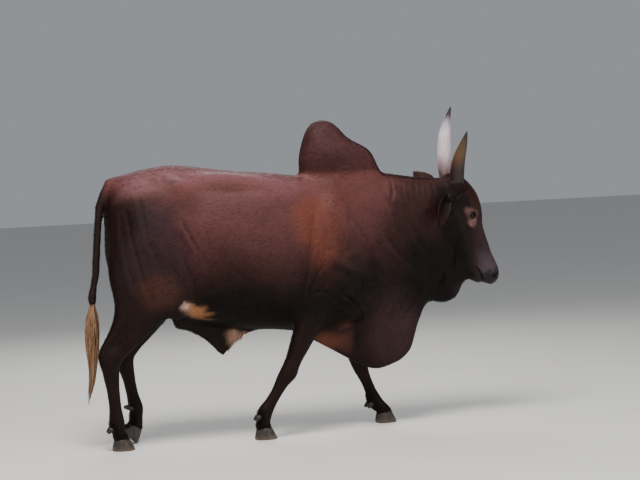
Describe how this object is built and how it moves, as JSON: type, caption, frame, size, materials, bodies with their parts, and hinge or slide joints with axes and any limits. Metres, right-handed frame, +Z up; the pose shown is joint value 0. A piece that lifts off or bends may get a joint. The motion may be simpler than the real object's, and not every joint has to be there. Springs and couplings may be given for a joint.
{
  "type": "zebu bull",
  "caption": "Life-size walking humped bull with dewlap, upright horns, drooping ears, cloven hooves and a tufted tail; a still model that stands on its own feet.",
  "frame": {"origin": "on the floor under the middle of the bull's bounding box", "axes": "+X forward along the bull, +Y to its left, +Z up"},
  "size_m": [2.0144, 0.532, 1.486],
  "materials": {
    "torso": "short glossy hair",
    "neck": "short glossy hair",
    "hump": "short glossy hair",
    "dewlap": "short hair",
    "head": "short hair",
    "leg": "short hair",
    "scrotum": "fine short hair",
    "ear": "short hair",
    "tail": "short hair",
    "tail_switch": "long coarse hair",
    "eye": "wet and dark",
    "horn_right": "horn, satin",
    "horn_left": "horn, satin",
    "claw": "horn, dull"
  },
  "bodies": {
    "root": {"torso": "torso", "neck": "neck", "hump": "hump", "dewlap": "dewlap", "head": "head", "scrotum": "scrotum", "tail": "tail", "tail_switch": "tail_switch", "ear_right": "ear", "eye_right": "eye", "horn_right": "horn_right", "leg_fore_right": "leg", "leg_hind_right": "leg", "claw_fore_right_inner": "claw", "dewclaw_fore_right_inner": "claw", "claw_fore_right_outer": "claw", "dewclaw_fore_right_outer": "claw", "claw_hind_right_inner": "claw", "dewclaw_hind_right_inner": "claw", "claw_hind_right_outer": "claw", "dewclaw_hind_right_outer": "claw", "ear_left": "ear", "eye_left": "eye", "horn_left": "horn_left", "leg_fore_left": "leg", "leg_hind_left": "leg", "claw_fore_left_inner": "claw", "dewclaw_fore_left_inner": "claw", "claw_fore_left_outer": "claw", "dewclaw_fore_left_outer": "claw", "claw_hind_left_inner": "claw", "dewclaw_hind_left_inner": "claw", "claw_hind_left_outer": "claw", "dewclaw_hind_left_outer": "claw"}
  },
  "joints": []
}
